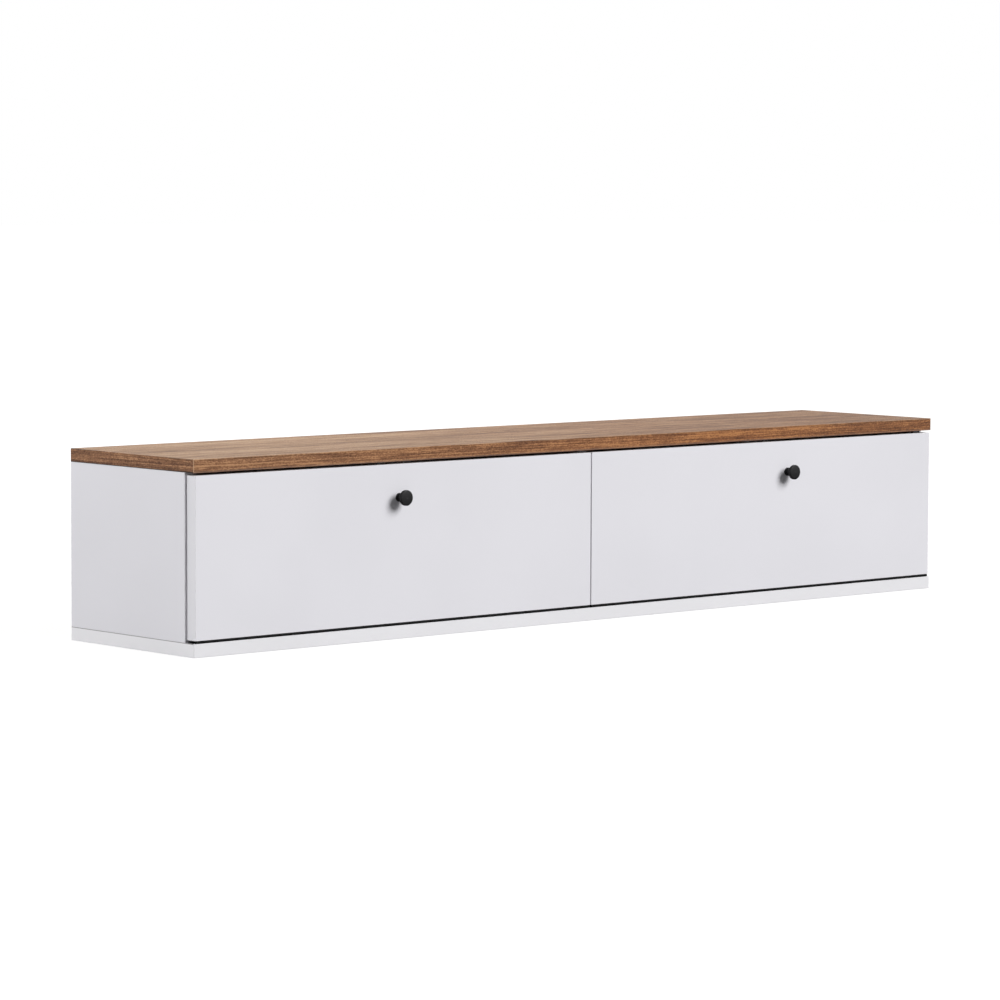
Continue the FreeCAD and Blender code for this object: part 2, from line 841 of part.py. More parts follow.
def stay_rod():
    half = stay_eye_thickness / 2
    eye = cylinder(stay_eye_radius, MOVING_PIN - X_AXIS * half, MOVING_PIN + X_AXIS * half)
    rod_start = (stay_pin_radius + stay_pin_play + stay_eye_radius) / 2
    rod = cylinder(
        stay_rod_radius, MOVING_PIN + ROD_DIRECTION * rod_start, MOVING_PIN + ROD_DIRECTION * stay_rod_length
    )
    reach = half + cut_overrun
    bore = cylinder(
        stay_pin_radius + stay_pin_play, MOVING_PIN - X_AXIS * reach, MOVING_PIN + X_AXIS * reach
    )
    return cut(joined([eye, rod]), [bore])


def stay_stop():
    start = MOVING_PIN + ROD_DIRECTION * (stay_rod_length - stop_length)
    end = MOVING_PIN + ROD_DIRECTION * stay_rod_length
    ring = cylinder(stop_radius, start, end)
    bore = cylinder(
        stay_rod_radius + screw_play, start - ROD_DIRECTION * cut_overrun, end + ROD_DIRECTION * cut_overrun
    )
    return cut(ring, [bore])


housing_outer_x = -side_inner + plate_thickness + housing_gap
housing_inner_x = stay_rod_x + stay_rod_radius + stay_rod_play + housing_wall
axle_end_x = stay_rod_x - stay_rod_radius - stay_rod_play - housing_wall


def brake_screw_hole():
    return cylinder(
        brake_screw_radius + brake_screw_play,
        FIXED_PIN,
        point(housing_inner_x + cut_overrun, fixed_pin_y, fixed_pin_z),
    )


def stay_housing():
    """Swivelling block on the side panel's axle; the rod slides through it."""
    thickness = housing_inner_x - housing_outer_x
    body = Part.makeBox(2 * housing_half_length, 2 * housing_half_width, thickness)
    body = rounded(body, housing_rounding, lambda p: near(p.z, thickness / 2))
    corner = point(housing_outer_x, fixed_pin_y, fixed_pin_z)
    corner = corner - ROD_DIRECTION * housing_half_length - ROD_NORMAL * housing_half_width
    body = placed(body, corner, X_AXIS, ROD_DIRECTION)
    rod_bore = cylinder(
        stay_rod_radius + stay_rod_play,
        FIXED_PIN - ROD_DIRECTION * (housing_half_length + cut_overrun),
        FIXED_PIN + ROD_DIRECTION * (housing_half_length + cut_overrun),
    )
    axle_bore = cylinder(
        axle_radius + axle_play,
        point(housing_outer_x - cut_overrun, fixed_pin_y, fixed_pin_z),
        point(axle_end_x + axle_end_gap, fixed_pin_y, fixed_pin_z),
    )
    return cut(body, [rod_bore, axle_bore, brake_screw_hole()])


def stay_brake_screw():
    start = stay_rod_x + stay_rod_radius + brake_screw_gap
    stud = cylinder(
        brake_screw_radius,
        point(start, fixed_pin_y, fixed_pin_z),
        point(housing_inner_x, fixed_pin_y, fixed_pin_z),
    )
    slot = block(
        (housing_inner_x - brake_slot_depth, housing_inner_x + cut_overrun),
        (fixed_pin_y - brake_screw_radius - cut_overrun, fixed_pin_y + brake_screw_radius + cut_overrun),
        (fixed_pin_z - brake_slot_width / 2, fixed_pin_z + brake_slot_width / 2),
    )
    return cut(stud, [slot])


def stay_plate():
    """Plate with the axle, screwed to the side panel."""
    x_range = (-side_inner, -side_inner + plate_thickness)
    plate = block(
        x_range,
        (fixed_pin_y - plate_half_width, fixed_pin_y + plate_half_width),
        (fixed_pin_z - plate_half_height, fixed_pin_z + plate_half_height),
    )

    def on_corner(p):
        across_y = abs(p.y - fixed_pin_y)
        across_z = abs(p.z - fixed_pin_z)
        return near(across_y, plate_half_width) and near(across_z, plate_half_height)

    plate = rounded(plate, plate_half_width / 2, on_corner)
    axle = cylinder(
        axle_radius, point(-side_inner, fixed_pin_y, fixed_pin_z), point(axle_end_x, fixed_pin_y, fixed_pin_z)
    )
    return cut(joined([plate, axle]), screw_holes(plate_screw_places()))


def carcass_nodes():
    side_band = upright_band((-half_length, -side_inner))
    return {
        "top_panel": top_panel(),
        "base_panel": base_panel(),
        "centre_divider": centre_divider(),
        "divider_edge_band": upright_band((-divider_face, divider_face)),
        "rear_rail": rear_rail(),
        "top_front_band": front_band(ceiling),
        "base_front_band": front_band(0),
        "cam_bolts": group(all_cam_solids(cam_bolt_at_origin())),
        "cam_locks": group(all_cam_solids(cam_lock_at_origin())),
        "cam_covers": group(all_cam_solids(cam_cover_at_origin())),
        "dowels": group(all_dowels()),
        "flap_buffers": group(buffers()),
        "cabinet_screws": group(
            both_sides(screws(fixed_leaf_screws() + catch_screw_places() + plate_screw_places()))
        ),
        "left_side_edge_band": side_band,
        "right_side_edge_band": mirrored(side_band),
    }


def handed_nodes(knob_x):
    """Pieces of the left half, for a knob at the given place."""
    return {
        "side_panel": left_side_panel(),
        "back_panel": left_back_panel(),
        "top_end_band": left_end_band(ceiling),
        "base_end_band": left_end_band(0),
        "hinge_fixed_leaf": hinge_leaf(False),
        "hinge_moving_leaf": hinge_leaf(True),
        "hinge_pin": hinge_pin(),
        "catch_housing": catch_housing(),
        "catch_magnet": catch_magnet(),
        "flap_panel": left_flap_panel(knob_x),
        "flap_edge_bands": left_flap_bands(knob_x),
        "flap_screws": group(screws(moving_leaf_screws() + strike_screw_places() + bracket_screw_places())),
        "knob": knob(knob_x),
        "knob_screw": knob_screw(knob_x),
        "strike_plate": strike_plate(),
        "stay_bracket": stay_bracket(),
        "stay_pin": stay_pin(),
        "stay_rod": stay_rod(),
        "stay_stop": stay_stop(),
        "stay_housing": stay_housing(),
        "stay_brake_screw": stay_brake_screw(),
        "stay_plate": stay_plate(),
    }


# The whole bench, one file per named piece

def main():
    nodes = carcass_nodes()
    for name, shape in handed_nodes(-left_knob_from_middle).items():
        nodes["left_" + name] = shape
    for name, shape in handed_nodes(-right_knob_from_middle).items():
        nodes["right_" + name] = mirrored(shape)
    os.makedirs("parts", exist_ok=True)
    for name, shape in nodes.items():
        shape.exportStep("parts/" + name + ".step")
    print(len(nodes), "nodes")


main()
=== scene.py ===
import json
import math

import bpy
from mathutils import Matrix, Vector


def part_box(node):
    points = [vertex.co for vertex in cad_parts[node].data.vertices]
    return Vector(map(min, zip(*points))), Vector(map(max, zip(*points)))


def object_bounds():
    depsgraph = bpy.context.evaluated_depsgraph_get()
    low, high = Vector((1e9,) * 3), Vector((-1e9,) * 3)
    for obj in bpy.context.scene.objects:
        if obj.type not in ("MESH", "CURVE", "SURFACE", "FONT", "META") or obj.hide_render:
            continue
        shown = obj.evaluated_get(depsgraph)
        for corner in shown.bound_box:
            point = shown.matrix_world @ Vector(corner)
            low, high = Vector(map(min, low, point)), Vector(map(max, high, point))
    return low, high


# Low bench for a television: finishes, studio and camera.
# Lengths are in metres, in the frame of the CAD model: X along the bench, Y from front to rear, Z up.
# Colours are sRGB shares. A span is a pair of places, distances or noise values, from and to.
# A bump is its height and its strength.

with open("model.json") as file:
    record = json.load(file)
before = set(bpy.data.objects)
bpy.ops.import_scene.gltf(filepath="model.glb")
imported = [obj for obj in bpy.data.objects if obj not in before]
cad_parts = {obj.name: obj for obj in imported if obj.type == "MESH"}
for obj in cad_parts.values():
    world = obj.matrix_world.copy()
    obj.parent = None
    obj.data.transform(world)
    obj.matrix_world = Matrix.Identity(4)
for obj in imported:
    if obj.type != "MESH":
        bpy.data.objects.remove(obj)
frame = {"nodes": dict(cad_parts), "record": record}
cad_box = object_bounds()

AXIS_X = 0
AXIS_Y = 1
AXIS_Z = 2

# Camera, from a fit to the photograph's straight edges, with angles in degrees
CAMERA_AZIMUTH = -41.6614
CAMERA_ELEVATION = 4.6344
CAMERA_ROLL = 0.2105
CAMERA_DISTANCE = 5.7004
CAMERA_TARGET = Vector((-0.17132, -0.135, 0.17852))
CAMERA_CLIP_END = 200.0
FOCAL_LENGTH_PX = 4146.8
PICTURE_WIDTH_PX = 1000.0
SENSOR_WIDTH_MM = 36.0

# Round soft lamps, each pointed at the middle of the bench, with power in watts
LAMPS = {
    "key": {"direction": (0.46, -0.83, 0.55), "distance": 24.0, "width": 14.0, "power": 6820.0},
    "side": {"direction": (-1.0, 0.1, 0.25), "distance": 5.0, "width": 3.0, "power": 150.0},
    "overhead": {"direction": (0.1, 0.35, 1.0), "distance": 5.0, "width": 3.0, "power": 68.0},
    "rear": {"direction": (-0.25, 1.0, 0.25), "distance": 5.0, "width": 3.0, "power": 110.0},
}

# World and floor: the floor lies a little under the bench, so that the two planes don't fight
SOCKET_WHITE = (1.0, 1.0, 1.0, 1.0)
WORLD_STRENGTH = 0.06
BACKGROUND_STRENGTH = 1.0
FLOOR_WIDTH = 60.0
FLOOR_DROP = 0.0003
FLOOR_TONE = 0.5
FLOOR_TONE_STEP = 0.01
FLOOR_CLOUD = {"scale": 4.0}
FLOOR_ROUGHNESS = 0.9
FLOOR_GLOW = 0.87
FLOOR_GLOW_SPAN = (1.2, 3.0)

# Standard sRGB curve
SRGB_TOE = 0.04045
SRGB_TOE_SLOPE = 12.92
SRGB_OFFSET = 0.055
SRGB_POWER = 2.4

# Spans of a noise value that turn it into a share from 0 to 1
SOFT = (0.3, 0.7)
FIRM = (0.35, 0.65)

# Places of the colour sockets among those of a mix node, which share their names with other kinds
MIX_FIRST_COLOUR = 6
MIX_SECOND_COLOUR = 7
MIX_COLOUR_RESULT = 2


def linear(colour, share=1.0):
    """The linear colour with alpha that a shader socket takes, from sRGB shares dimmed by a share."""
    channels = []
    for channel in colour:
        value = channel * share
        if value <= SRGB_TOE:
            channels.append(value / SRGB_TOE_SLOPE)
        else:
            channels.append(((value + SRGB_OFFSET) / (1.0 + SRGB_OFFSET)) ** SRGB_POWER)
    return (*channels, 1.0)


class Nodes:
    """A node tree under construction."""

    def __init__(self, tree):
        self.tree = tree

    def node(self, kind, **settings):
        made = self.tree.nodes.new(kind)
        for name, value in settings.items():
            setattr(made, name, value)
        return made

    def feed(self, socket, value):
        """Joins another node's output to a socket, or sets the socket to a plain value."""
        if isinstance(value, bpy.types.NodeSocket):
            self.tree.links.new(value, socket)
        else:
            socket.default_value = value

    def math(self, operation, *values):
        made = self.node("ShaderNodeMath", operation=operation)
        for socket, value in zip(made.inputs, values):
            self.feed(socket, value)
        return made.outputs[0]


class Shader(Nodes):
    """A material under construction, patterned by the coordinates of the piece at rest."""

    def __init__(self, name):
        self.material = bpy.data.materials.new(name)
        self.material.use_nodes = True
        super().__init__(self.material.node_tree)

    def put(self, name, value):
        """Feeds one input of the surface."""
        self.feed(self.tree.nodes["Principled BSDF"].inputs[name], value)

    def cover(self, colour, roughness, normal):
        """Feeds the surface and gives the finished material."""
        self.put("Base Color", colour)
        self.put("Roughness", roughness)
        self.put("Normal", normal)
        return self.material

    def place(self):
        return self.node("ShaderNodeTexCoord").outputs["Object"]

    def coordinates(self):
        split = self.node("ShaderNodeSeparateXYZ")
        self.feed(split.inputs[0], self.place())
        return split.outputs[0:3]

    def pattern(
        self, scale=1.0, detail=2.0, roughness=0.5, distortion=0.0,
        stretch=(1.0, 1.0, 1.0), offset=(0.0, 0.0, 0.0)
    ):
        """Noise on coordinates that are first stretched and then shifted."""
        mapping = self.node("ShaderNodeMapping")
        self.feed(mapping.inputs["Vector"], self.place())
        self.feed(mapping.inputs["Scale"], stretch)
        self.feed(mapping.inputs["Location"], offset)
        noise = self.node("ShaderNodeTexNoise")
        self.feed(noise.inputs["Vector"], mapping.outputs["Vector"])
        self.feed(noise.inputs["Scale"], scale)
        self.feed(noise.inputs["Detail"], detail)
        self.feed(noise.inputs["Roughness"], roughness)
        self.feed(noise.inputs["Distortion"], distortion)
        return noise.outputs["Fac"]

    def grained(self, axis, scales, **settings):
        """A pattern with one scale along an axis and another across it."""
        along, across = scales
        stretch = tuple(along if i == axis else across for i in (AXIS_X, AXIS_Y, AXIS_Z))
        return self.pattern(stretch=stretch, **settings)

    def ramp(self, value, low, high, low_out=0.0, high_out=1.0):
        """A smooth step between two results as the value goes from low to high."""
        made = self.node("ShaderNodeMapRange", interpolation_type="SMOOTHSTEP")
        self.feed(made.inputs["Value"], value)
        self.feed(made.inputs["From Min"], low)
        self.feed(made.inputs["From Max"], high)
        self.feed(made.inputs["To Min"], low_out)
        self.feed(made.inputs["To Max"], high_out)
        return made.outputs["Result"]

    def fade(self, distance, span, strength=1.0):
        """The strength up to the start of a span of distances, falling to 0 at its end."""
        return self.ramp(distance, *span, strength, 0.0)

    def mix(self, share, first, second, blend="MIX"):
        """The first colour, with a share of the second."""
        made = self.node("ShaderNodeMix", data_type="RGBA", blend_type=blend)
        self.feed(made.inputs["Factor"], share)
        self.feed(made.inputs[MIX_FIRST_COLOUR], first)
        self.feed(made.inputs[MIX_SECOND_COLOUR], second)
        return made.outputs[MIX_COLOUR_RESULT]

    def bump(self, height, distance, strength, onto=None):
        """The normal on a height, on top of another bump where one is given."""
        made = self.node("ShaderNodeBump")
        self.feed(made.inputs["Height"], height)
        self.feed(made.inputs["Distance"], distance)
        self.feed(made.inputs["Strength"], strength)
        if onto is not None:
            self.feed(made.inputs["Normal"], onto)
        return made.outputs["Normal"]

    def arris(self, corners, span):
        """1 on the edges of a box-shaped piece, fading to 0 over a span of distances from them."""
        low, high = corners
        inward = []
        for axis, value in enumerate(self.coordinates()):
            from_low = self.math("SUBTRACT", value, low[axis])
            from_high = self.math("SUBTRACT", high[axis], value)
            inward.append(self.math("MINIMUM", from_low, from_high))
        total = self.math("ADD", self.math("ADD", inward[0], inward[1]), inward[2])
        least = self.math("MINIMUM", self.math("MINIMUM", inward[0], inward[1]), inward[2])
        most = self.math("MAXIMUM", self.math("MAXIMUM", inward[0], inward[1]), inward[2])
        from_edge = self.math("SUBTRACT", self.math("SUBTRACT", total, least), most)
        return self.fade(from_edge, span)


# Raw chipboard, on the sawn edges at the rear of the boards
CORE_DARK = (0.56, 0.45, 0.32)
CORE_LIGHT = (0.80, 0.69, 0.53)
CORE_CHIPS = {"scale": 420.0, "detail": 4.0, "roughness": 0.7}
CORE_DEPTH = (0.0004, 0.0001)
CORE_BUMP = (0.0004, 0.7)


def raw_core(s):
    """Chipboard at the rear: its colour, its height and where it shows."""
    y = s.coordinates()[AXIS_Y]
    rear = cad_box[1][AXIS_Y]
    chips = s.pattern(**CORE_CHIPS)
    colour = s.mix(s.ramp(chips, *FIRM), linear(CORE_DARK), linear(CORE_LIGHT))
    at_rear = s.ramp(y, rear - CORE_DEPTH[0], rear - CORE_DEPTH[1])
    return colour, s.math("MULTIPLY", chips, at_rear), at_rear


# Walnut decor: the patterns of its grain, with their scales along and across it
GRAIN_PATTERNS = {
    "figure": {"scales": (1.4, 14.0), "detail": 3.0, "roughness": 0.65, "distortion": 0.70},
    "streak": {"scales": (5.0, 150.0), "detail": 3.0, "roughness": 0.60, "distortion": 0.30},
    "fleck": {"scales": (40.0, 620.0), "detail": 1.0, "roughness": 0.60, "distortion": 0.15},
    "line": {"scales": (8.0, 520.0), "detail": 1.0, "roughness": 0.50, "distortion": 0.10},
    "speck": {"scales": (350.0, 700.0), "detail": 1.0},
}
GRAIN_START = (0.0, 0.0, 0.4)
GRAIN_STEP = (3.1, 1.7, 1.0)

# Dark, middle and light tone, share of each pattern in the tone, and share of the warm tint, first in
# patches and then added towards the right end
FACE_DECOR = {
    "tones": ((0.300, 0.180, 0.080), (0.472, 0.332, 0.196), (0.650, 0.512, 0.366)),
    "grain": {"figure": 0.44, "streak": 0.66, "fleck": 0.38, "line": 0.44, "speck": 0.38},
    "warmth": (0.15, 0.22),
}
BAND_DECOR = {
    "tones": ((0.305, 0.185, 0.102), (0.492, 0.332, 0.214), (0.680, 0.502, 0.350)),
    "grain": {"figure": 0.22, "streak": 0.33, "fleck": 0.27, "line": 0.56, "speck": 0.42},
    "warmth": (0.25, 0.70),
}

# Tone added at the left end and at the right end of the bench, as painted light and shade: a painted sheen
# makes the face lighter at the left and darker at the right, the front band gets a lighter copy of the
# band decor and the end bands a darker one
FACE_PAINTED_LIGHT = (0.040, -0.045)
FRONT_BAND_PAINTED_LIGHT = (0.042, 0.030)
END_BAND_PAINTED_SHADE = (-0.040, -0.040)
PAINTED_LIGHT_SPAN = (-0.5, 0.6)

# From tone to colour
MIDDLE_TONE = 0.5
DARK_SPAN = (0.34, 0.50)
LIGHT_SPAN = (0.50, 0.66)
WARM_TINT = (1.0, 0.91, 0.77)
WARM_PATCHES = {"scales": (2.2, 5.0), "offset": (9.0, 6.0, 1.0), "detail": 1.0}
WARM_PATCH_SPAN = (0.35, 0.7)
WARM_SPAN = (-0.8, 0.3)
PORES = {"scales": (60.0, 900.0), "offset": (7.7, 4.1, 2.8)}
PORE_SPAN = (0.57, 0.70)
PORE_DARKNESS = 0.35

# Relief and gloss, with the roughness of a dark tone and of a light one
LINE_HEIGHT = 0.5
GRAIN_BUMP = (0.00005, 0.6)
DECOR_ROUGHNESS = (0.70, 0.48)
CORE_ROUGHNESS = 0.85
FACE_SPECULAR = 0.5
BAND_SPECULAR = 0.3


def decor(s, grain_axis, tones, grain, warmth, painted_light):
    """Colour, roughness and bump of printed walnut: figure, streaks, flecks, lines, specks and pores, with
    painted light and shade as a tone step along the bench.
    """
    dark, middle, light = (linear(tone) for tone in tones)
    x = s.coordinates()[AXIS_X]
    patterns = {}
    for index, (kind, settings) in enumerate(GRAIN_PATTERNS.items()):
        offset = tuple(start + step * index for start, step in zip(GRAIN_START, GRAIN_STEP))
        patterns[kind] = s.grained(grain_axis, offset=offset, **settings)
    pore = s.ramp(s.grained(grain_axis, **PORES), *PORE_SPAN)

    # Noise averages a half, so half of the shares comes off for the tone to average the middle one
    base_tone = MIDDLE_TONE - sum(grain.values()) / 2
    # Painted light and shade: the tone steps up or down along the bench, from the left end to the right
    # end
    tone = s.ramp(x, *PAINTED_LIGHT_SPAN, base_tone + painted_light[0], base_tone + painted_light[1])
    for kind, share in grain.items():
        tone = s.math("MULTIPLY_ADD", patterns[kind], share, tone)
    darker = s.mix(s.ramp(tone, *DARK_SPAN), dark, middle)
    colour = s.mix(s.ramp(tone, *LIGHT_SPAN), darker, light)

    in_patches = s.ramp(s.grained(grain_axis, **WARM_PATCHES), *WARM_PATCH_SPAN, 0.0, warmth[0])
    warm = s.math("ADD", in_patches, s.ramp(x, *WARM_SPAN, 0.0, warmth[1]))
    colour = s.mix(warm, colour, linear(WARM_TINT), "MULTIPLY")
    colour = s.mix(s.math("MULTIPLY", pore, PORE_DARKNESS), colour, dark)

    height = s.math("SUBTRACT", s.math("MULTIPLY", patterns["line"], LINE_HEIGHT), pore)
    roughness = s.ramp(s.math("SUBTRACT", tone, pore), *SOFT, *DECOR_ROUGHNESS)
    return colour, roughness, s.bump(height, *GRAIN_BUMP)


def wood_face(name):
    """Walnut decor on the top panel, with the raw core on its rear edge."""
    s = Shader(name)
    colour, roughness, printed = decor(s, AXIS_X, painted_light=FACE_PAINTED_LIGHT, **FACE_DECOR)
    core, chips, at_rear = raw_core(s)
    colour = s.mix(at_rear, colour, core)
    roughness = s.math("MAXIMUM", roughness, s.math("MULTIPLY", at_rear, CORE_ROUGHNESS))
    s.put("Specular IOR Level", FACE_SPECULAR)
    return s.cover(colour, roughness, s.bump(chips, *CORE_BUMP, printed))


# Edges of the walnut bands: spans are distances from the edge, and a strength is the share of a colour
BAND_ARRIS = (0.80, 0.68, 0.57)
BAND_CORNER_WEAR_AND_HIGHLIGHT = (0.76, 0.62, 0.49)
# Dark brown, for the painted shade in the seams and under the front arris, and for the dark rear arris and
# rear end
BAND_DARK = (0.12, 0.075, 0.05)
BAND_FOOT_HIGHLIGHT = (0.48, 0.42, 0.40)
ARRIS_SPAN = (0.0005, 0.0011)

# Front band: pale foot as a painted highlight, a dark line of painted shade under the arris that grows to
# the right, worn arris with a painted highlight, pale corners as a painted highlight with wear
FOOT_HIGHLIGHT_SPAN = (0.0008, 0.0028)
FOOT_HIGHLIGHT_STRENGTH = 0.35
SHADE_LINE_SPAN = (0.0014, 0.0034)
SHADE_LINE_RAMP = {"low": -0.6, "high": 0.7, "low_out": 0.10, "high_out": 0.30}
WEAR = {"scales": (9.0, 60.0), "offset": (2.0, 2.0, 8.0)}
WEAR_RAMP = {"low": 0.40, "high": 0.64, "low_out": 0.0, "high_out": 0.45}
CORNER_SPAN = (0.0003, 0.0008)
CORNER_STRENGTH = 0.75

# End bands: painted shade in the seam below, arris pale at the front and dark at the rear, dark rear end
SEAM_SHADE_SPAN = (0.0010, 0.0018)
SEAM_SHADE_STRENGTH = 0.85
DARK_ARRIS_RAMP = {"low": 0.03, "high": 0.11, "low_out": 0.0, "high_out": 0.75}
PALE_ARRIS_RAMP = {"low": 0.00, "high": 0.07, "low_out": 0.32, "high_out": 0.0}
REAR_END_SPAN = (0.0006, 0.0012)
REAR_END_STRENGTH = 0.65


def front_band_edges(s, corners, colour):
    """Edges of the walnut band along the front."""
    low, high = corners
    x, y, z = s.coordinates()
    above_low = s.math("SUBTRACT", z, low[AXIS_Z])
    below_high = s.math("SUBTRACT", high[AXIS_Z], z)
    # Painted highlight: the pale foot along the lower arris
    colour = s.mix(s.fade(above_low, FOOT_HIGHLIGHT_SPAN, FOOT_HIGHLIGHT_STRENGTH), colour, linear(BAND_FOOT_HIGHLIGHT))
    # Painted shade: a dark line under the upper arris, growing to the right
    painted_shade_line = s.math("MULTIPLY", s.fade(below_high, SHADE_LINE_SPAN), s.ramp(x, **SHADE_LINE_RAMP))
    colour = s.mix(painted_shade_line, colour, linear(BAND_DARK))
    # Worn arris with a painted highlight along it, patchy with the wear
    wear = s.ramp(s.grained(AXIS_X, **WEAR), **WEAR_RAMP)
    worn_and_highlit_arris = s.math("MULTIPLY", s.fade(below_high, ARRIS_SPAN), wear)
    colour = s.mix(worn_and_highlit_arris, colour, linear(BAND_ARRIS))
    # Painted highlight with wear on the corners at the ends
    from_end = s.math("SUBTRACT", high[AXIS_X], s.math("ABSOLUTE", x))
    return s.mix(s.fade(from_end, CORNER_SPAN, CORNER_STRENGTH), colour, linear(BAND_CORNER_WEAR_AND_HIGHLIGHT))


def end_band_edges(s, corners, colour):
    """Edges of a walnut band at an end of the bench."""
    low, high = corners
    x, y, z = s.coordinates()
    above_low = s.math("SUBTRACT", z, low[AXIS_Z])
    arris = s.fade(s.math("SUBTRACT", high[AXIS_Z], z), ARRIS_SPAN)
    # Painted shade in the seam along the foot of the band
    colour = s.mix(s.fade(above_low, SEAM_SHADE_SPAN, SEAM_SHADE_STRENGTH), colour, linear(BAND_DARK))
    dark_arris = s.math("MULTIPLY", arris, s.ramp(y, **DARK_ARRIS_RAMP))
    colour = s.mix(dark_arris, colour, linear(BAND_DARK))
    pale_arris = s.math("MULTIPLY", arris, s.ramp(y, **PALE_ARRIS_RAMP))
    colour = s.mix(pale_arris, colour, linear(BAND_ARRIS))
    from_rear = s.math("SUBTRACT", high[AXIS_Y], y)
    return s.mix(s.fade(from_rear, REAR_END_SPAN, REAR_END_STRENGTH), colour, linear(BAND_DARK))


def wood_band(name, corners, at_front):
    """Walnut decor on an edge band, with its grain along the band."""
    s = Shader(name)
    if at_front:
        colour, roughness, printed = decor(s, AXIS_X, painted_light=FRONT_BAND_PAINTED_LIGHT, **BAND_DECOR)
        colour = front_band_edges(s, corners, colour)
    else:
        colour, roughness, printed = decor(s, AXIS_Y, painted_light=END_BAND_PAINTED_SHADE, **BAND_DECOR)
        colour = end_band_edges(s, corners, colour)
    s.put("Specular IOR Level", BAND_SPECULAR)
    return s.cover(colour, roughness, printed)


# White melamine: a faint unevenness of tone, a fine pearl texture and a soft sheen
WHITE_BOARD = (0.880, 0.876, 0.896)
WHITE_BAND = (0.895, 0.891, 0.908)
# Painted light: lighter copies of the band white on the base's front band and on its end bands
LIT_WHITE_BASE_FRONT = (0.905, 0.902, 0.914)
LIT_WHITE_BASE_END = (0.925, 0.922, 0.934)
WHITE_CLOUD = {"scale": 5.0, "offset": (2.0, 5.0, 3.0)}
WHITE_SHADE = 0.988
PEARL = {"scale": 1500.0, "roughness": 0.6}
PEARL_BUMP = (0.00003, 0.5)
SWELL = {"scale": 90.0, "detail": 1.0}
SWELL_BUMP = (0.00004, 0.4)
WHITE_ROUGHNESS = (0.42, 0.52)
WHITE_SPECULAR = 0.4

# Edges of a white band, and painted shade in the seam where a board stands on a base band
WHITE_ARRIS_SHADE = 0.93
WHITE_ARRIS_STRENGTH = 0.35
WHITE_ARRIS_SPAN = (0.00044, 0.0008)
WHITE_SEAM_SHADE = (0.36, 0.34, 0.34)
WHITE_SEAM_SHADE_SPAN = (0.0003, 0.0008)
WHITE_SEAM_SHADE_STRENGTH = 0.85


def clouded_white(s, colour, shade):
    cloud = s.ramp(s.pattern(**WHITE_CLOUD), *SOFT)
    return s.mix(cloud, linear(colour, shade), linear(colour))


def pearl_texture(s):
    """Roughness and bump of the melamine."""
    pearl = s.pattern(**PEARL)
    return s.ramp(pearl, *SOFT, *WHITE_ROUGHNESS), s.bump(pearl, *PEARL_BUMP)


def white_band(name, colour, corners, seam_shade_above=False):
    """White edge band with slightly darker arrises, and painted shade in the seam where a board stands on
    it.
    """
    s = Shader(name)
    made = clouded_white(s, colour, WHITE_SHADE)
    arris = s.math("MULTIPLY", s.arris(corners, WHITE_ARRIS_SPAN), WHITE_ARRIS_STRENGTH)
    made = s.mix(arris, made, linear(colour, WHITE_ARRIS_SHADE))
    if seam_shade_above:
        low, high = corners
        below_high = s.math("SUBTRACT", high[AXIS_Z], s.coordinates()[AXIS_Z])
        # Painted shade in the seam under the board above
        seam_shade = s.fade(below_high, WHITE_SEAM_SHADE_SPAN, WHITE_SEAM_SHADE_STRENGTH)
        made = s.mix(seam_shade, made, linear(WHITE_SEAM_SHADE))
    roughness, fine = pearl_texture(s)
    s.put("Specular IOR Level", WHITE_SPECULAR)
    return s.cover(made, roughness, s.bump(s.pattern(**SWELL), *SWELL_BUMP, fine))


# Added to the roughness where the raw core shows
CORE_DULLNESS = 0.35


def white_board(name):
    """White melamine faces, with the raw core on the rear edges."""
    s = Shader(name)
    core, chips, at_rear = raw_core(s)
    colour = s.mix(at_rear, clouded_white(s, WHITE_BOARD, WHITE_SHADE), core)
    smooth, fine = pearl_texture(s)
    roughness = s.math("ADD", smooth, s.math("MULTIPLY", at_rear, CORE_DULLNESS))
    s.put("Specular IOR Level", WHITE_SPECULAR)
    return s.cover(colour, roughness, s.bump(chips, *CORE_BUMP, fine))


# Thin hardboard of the back, lacquered white towards the inside
BACK_SHADE = 0.985
HARDBOARD_DARK = (0.37, 0.25, 0.16)
HARDBOARD_LIGHT = (0.50, 0.36, 0.24)
HARDBOARD_FIBRE = {"scale": 650.0, "detail": 5.0, "roughness": 0.75, "distortion": 1.5}
HARDBOARD_BUMP = (0.0002, 0.6)
HARDBOARD_TURN = 0.0002
BACK_ROUGHNESS = (0.45, 0.80)
BACK_SPECULAR = 0.35


def hardboard_back(name, corners):
    """White in the front half of the sheet's thickness, bare brown fibre in the rear half."""
    s = Shader(name)
    low, high = corners
    middle_y = (low[AXIS_Y] + high[AXIS_Y]) / 2
    outside = s.ramp(s.coordinates()[AXIS_Y], middle_y, middle_y + HARDBOARD_TURN)
    fibre = s.pattern(**HARDBOARD_FIBRE)
    brown = s.mix(s.ramp(fibre, *FIRM), linear(HARDBOARD_DARK), linear(HARDBOARD_LIGHT))
    colour = s.mix(outside, clouded_white(s, WHITE_BOARD, BACK_SHADE), brown)
    roughness = s.ramp(outside, 0.0, 1.0, *BACK_ROUGHNESS)
    s.put("Specular IOR Level", BACK_SPECULAR)
    return s.cover(colour, roughness, s.bump(s.math("MULTIPLY", fibre, outside), *HARDBOARD_BUMP))


# Matt black powder coat
BLACK_COAT = (0.058, 0.056, 0.066)
BLACK_COAT_SPECULAR = 0.22
